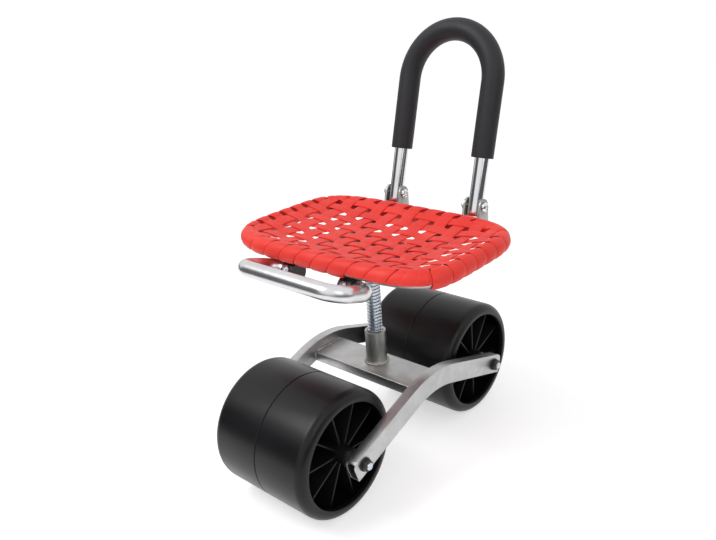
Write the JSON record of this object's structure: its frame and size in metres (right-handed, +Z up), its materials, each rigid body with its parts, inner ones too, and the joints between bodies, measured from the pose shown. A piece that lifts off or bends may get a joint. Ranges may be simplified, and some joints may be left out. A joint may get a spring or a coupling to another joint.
{
  "type": "rolling garden seat",
  "caption": "Low garden seat of woven straps on a height screw, carried by wide ribbed rollers on bent side rails, with a folding arched handle behind.",
  "frame": {"origin": "on the floor, midway between the axles and between the side rails", "axes": "+Z up, +Y to the rear where the handle stands, +X along the axles to the right of someone looking towards the rear"},
  "size_m": [0.3628, 0.4916, 0.6008],
  "materials": {
    "galvanised_steel": "satin",
    "zinc_plate": "bright zinc",
    "raw_steel": "satin",
    "bright_chrome": "polished",
    "black_painted_steel": "satin",
    "black_plastic": "satin",
    "red_strap": "gloss",
    "dark_foam": "matt foam"
  },
  "bodies": {
    "base": {"rail_left": "galvanised_steel", "rail_right": "galvanised_steel", "cross_beam": "galvanised_steel", "screw_sleeve": "raw_steel", "axle_front": "zinc_plate", "axle_rear": "zinc_plate", "axle_nut_front_left": "zinc_plate", "axle_nut_front_right": "zinc_plate", "axle_nut_rear_left": "zinc_plate", "axle_nut_rear_right": "zinc_plate", "spacer_front_left": "zinc_plate", "spacer_front_right": "zinc_plate", "spacer_rear_left": "zinc_plate", "spacer_rear_right": "zinc_plate"},
    "screw": {"height_screw": "zinc_plate"},
    "seat": {"seat_plate": "black_painted_steel", "seat_bar_left": "black_painted_steel", "seat_bar_right": "black_painted_steel", "seat_frame_tube": "galvanised_steel", "seat_weave": "red_strap", "front_ring": "bright_chrome", "ring_bolt_left": "zinc_plate", "ring_bolt_right": "zinc_plate", "handle_bracket_left": "black_painted_steel", "handle_bracket_right": "black_painted_steel", "pivot_bolt_left": "zinc_plate", "pivot_bolt_right": "zinc_plate", "pivot_nut_left": "zinc_plate", "pivot_nut_right": "zinc_plate"},
    "handle": {"handle_tube": "bright_chrome", "handle_grip": "dark_foam"},
    "roller_front_left": {"roller_front_left": "black_plastic"},
    "roller_front_right": {"roller_front_right": "black_plastic"},
    "roller_rear_left": {"roller_rear_left": "black_plastic"},
    "roller_rear_right": {"roller_rear_right": "black_plastic"}
  },
  "joints": [
    {"name": "roller_spin_front_left", "type": "hinge", "parent": "base", "child": "roller_front_left", "pos_m": [0, -0.1564, 0.08943], "axis": [1, 0, 0], "continuous": true},
    {"name": "roller_spin_front_right", "type": "hinge", "parent": "base", "child": "roller_front_right", "pos_m": [0, -0.1564, 0.08943], "axis": [1, 0, 0], "continuous": true},
    {"name": "roller_spin_rear_left", "type": "hinge", "parent": "base", "child": "roller_rear_left", "pos_m": [0, 0.1564, 0.08943], "axis": [1, 0, 0], "continuous": true},
    {"name": "roller_spin_rear_right", "type": "hinge", "parent": "base", "child": "roller_rear_right", "pos_m": [0, 0.1564, 0.08943], "axis": [1, 0, 0], "continuous": true},
    {"name": "seat_lift", "type": "slide", "parent": "base", "child": "screw", "axis": [0, 0, 1], "range_m": [-0.099, 0.029]},
    {"name": "seat_swivel", "type": "hinge", "parent": "screw", "child": "seat", "pos_m": [0, 0.005, 0.3067], "axis": [0, 0, 1], "range_deg": [-7110, 2070]},
    {"name": "handle_fold", "type": "hinge", "parent": "seat", "child": "handle", "pos_m": [0, 0.1615, 0.3416], "axis": [1, 0, 0], "range_deg": [0, 88]}
  ],
  "couplings": [
    {"joint": "seat_lift", "follows": "seat_swivel", "m_per_rad": 0.00079577}
  ]
}
